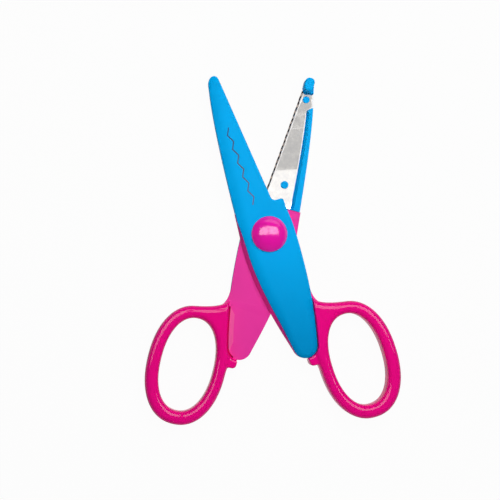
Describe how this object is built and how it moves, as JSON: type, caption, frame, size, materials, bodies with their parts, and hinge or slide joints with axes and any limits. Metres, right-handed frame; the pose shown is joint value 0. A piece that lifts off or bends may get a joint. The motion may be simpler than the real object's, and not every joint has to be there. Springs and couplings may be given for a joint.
{
  "type": "decorative edge scissors",
  "caption": "Craft scissors with wavy stamped steel blades in leaf-shaped plastic covers, round finger loops and a domed pivot button, for cutting a zigzag edge in paper.",
  "frame": {"origin": "centre of the flat face of the back pivot button, on the pivot axis, on the plane that the scissors lie on", "axes": "+Z along the pivot axis from the flat button to the domed one, +Y midway between the two blade tips in the open rest pose, +X to the side of the front half's finger loop"},
  "size_m": [0.0936, 0.1267, 0.0122],
  "materials": {
    "cover_blue": "satin moulded plastic, bright blue",
    "handle_pink": "glossy moulded plastic, magenta pink",
    "steel": "bright rolled sheet steel"
  },
  "bodies": {
    "back_half": {"back_cover": "cover_blue", "back_handle": "handle_pink", "back_blade": "steel", "back_washer": "steel", "back_pivot_cap": "handle_pink", "pivot_rivet": "steel"},
    "front_half": {"front_cover": "cover_blue", "front_handle": "handle_pink", "front_blade": "steel", "front_spring_washer": "steel", "front_pivot_cap": "handle_pink"}
  },
  "joints": [
    {"name": "pivot", "type": "hinge", "parent": "back_half", "child": "front_half", "pos_m": [0, 0, 0.0044], "axis": [0, 0, 1], "range_deg": [-30.4, 95]}
  ]
}
